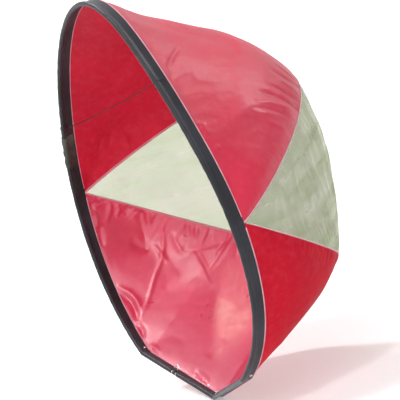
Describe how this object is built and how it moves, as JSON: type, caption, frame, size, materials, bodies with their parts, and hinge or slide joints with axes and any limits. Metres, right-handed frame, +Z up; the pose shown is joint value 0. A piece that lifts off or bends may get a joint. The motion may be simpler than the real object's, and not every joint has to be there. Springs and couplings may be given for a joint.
{
  "type": "canoe sail",
  "caption": "Folding downwind canoe sail: a batten hoop in a nylon sleeve with a deep cloth bowl, a clear window and a V-shaped foot.",
  "frame": {"origin": "front point of the tip of the V at the foot of the sail, where it stands on the deck", "axes": "+Z up the hoop from the tip, +Y from the mouth into the bowl (downwind), +X to the right as seen from the paddler in front of the mouth"},
  "size_m": [1.0684, 0.5369, 1.1156],
  "materials": {
    "cloth": "red coated ripstop",
    "window": "clear flexible vinyl",
    "sleeve": "black pack nylon with a sheen",
    "tape": "pale pink folded tape",
    "piping": "pale pink seam edge",
    "batten": "glass fibre rod",
    "elbow": "moulded nylon",
    "webbing": "black webbing",
    "line": "dark braided cord",
    "steel": "stainless steel",
    "eyelet": "nickel-plated"
  },
  "bodies": {
    "sail": {"hoop_batten": "batten", "base_batten_right": "batten", "base_batten_left_outer": "batten", "base_batten_left_inner": "batten", "corner_elbow_left": "elbow", "corner_elbow_right": "elbow", "tip_elbow": "elbow", "batten_ferrule": "steel", "rim_sleeve": "sleeve", "base_sleeve_left": "sleeve", "base_sleeve_right": "sleeve", "upper_panel": "cloth", "window_panel": "window", "lower_panel": "cloth", "window_tape_upper": "tape", "window_tape_lower": "tape", "rim_tape_upper": "piping", "rim_tape_lower_left": "piping", "rim_tape_lower_right": "piping", "base_tape_left": "piping", "base_tape_right": "piping", "line_tie_right": "webbing", "line_tie_left": "webbing", "storage_wrap": "webbing", "control_line": "line", "line_knot_right": "line", "line_knot_left": "line", "line_tail_right": "line", "tip_tab": "webbing", "corner_eyelet_left": "eyelet", "corner_eyelet_right": "eyelet"},
    "deck_loop": {"deck_loop": "webbing"},
    "deck_ring": {"deck_ring": "steel"},
    "tip_ring": {"tip_ring": "steel"}
  },
  "joints": [
    {"name": "deck_loop_swivel", "type": "hinge", "parent": "sail", "child": "deck_loop", "pos_m": [-0.17975, -0.00637, 0.05454], "axis": [0.95, 0.0933, -0.298], "range_deg": [0, 220]},
    {"name": "deck_ring_swing", "type": "hinge", "parent": "deck_loop", "child": "deck_ring", "pos_m": [-0.17752, 0.00001, 0.06284], "axis": [0.95, 0.0933, -0.298], "range_deg": [-60, 60]},
    {"name": "tip_ring_swing", "type": "hinge", "parent": "sail", "child": "tip_ring", "pos_m": [0, 0.01556, 0.00862], "axis": [1, 0, 0], "range_deg": [0, 150]}
  ]
}
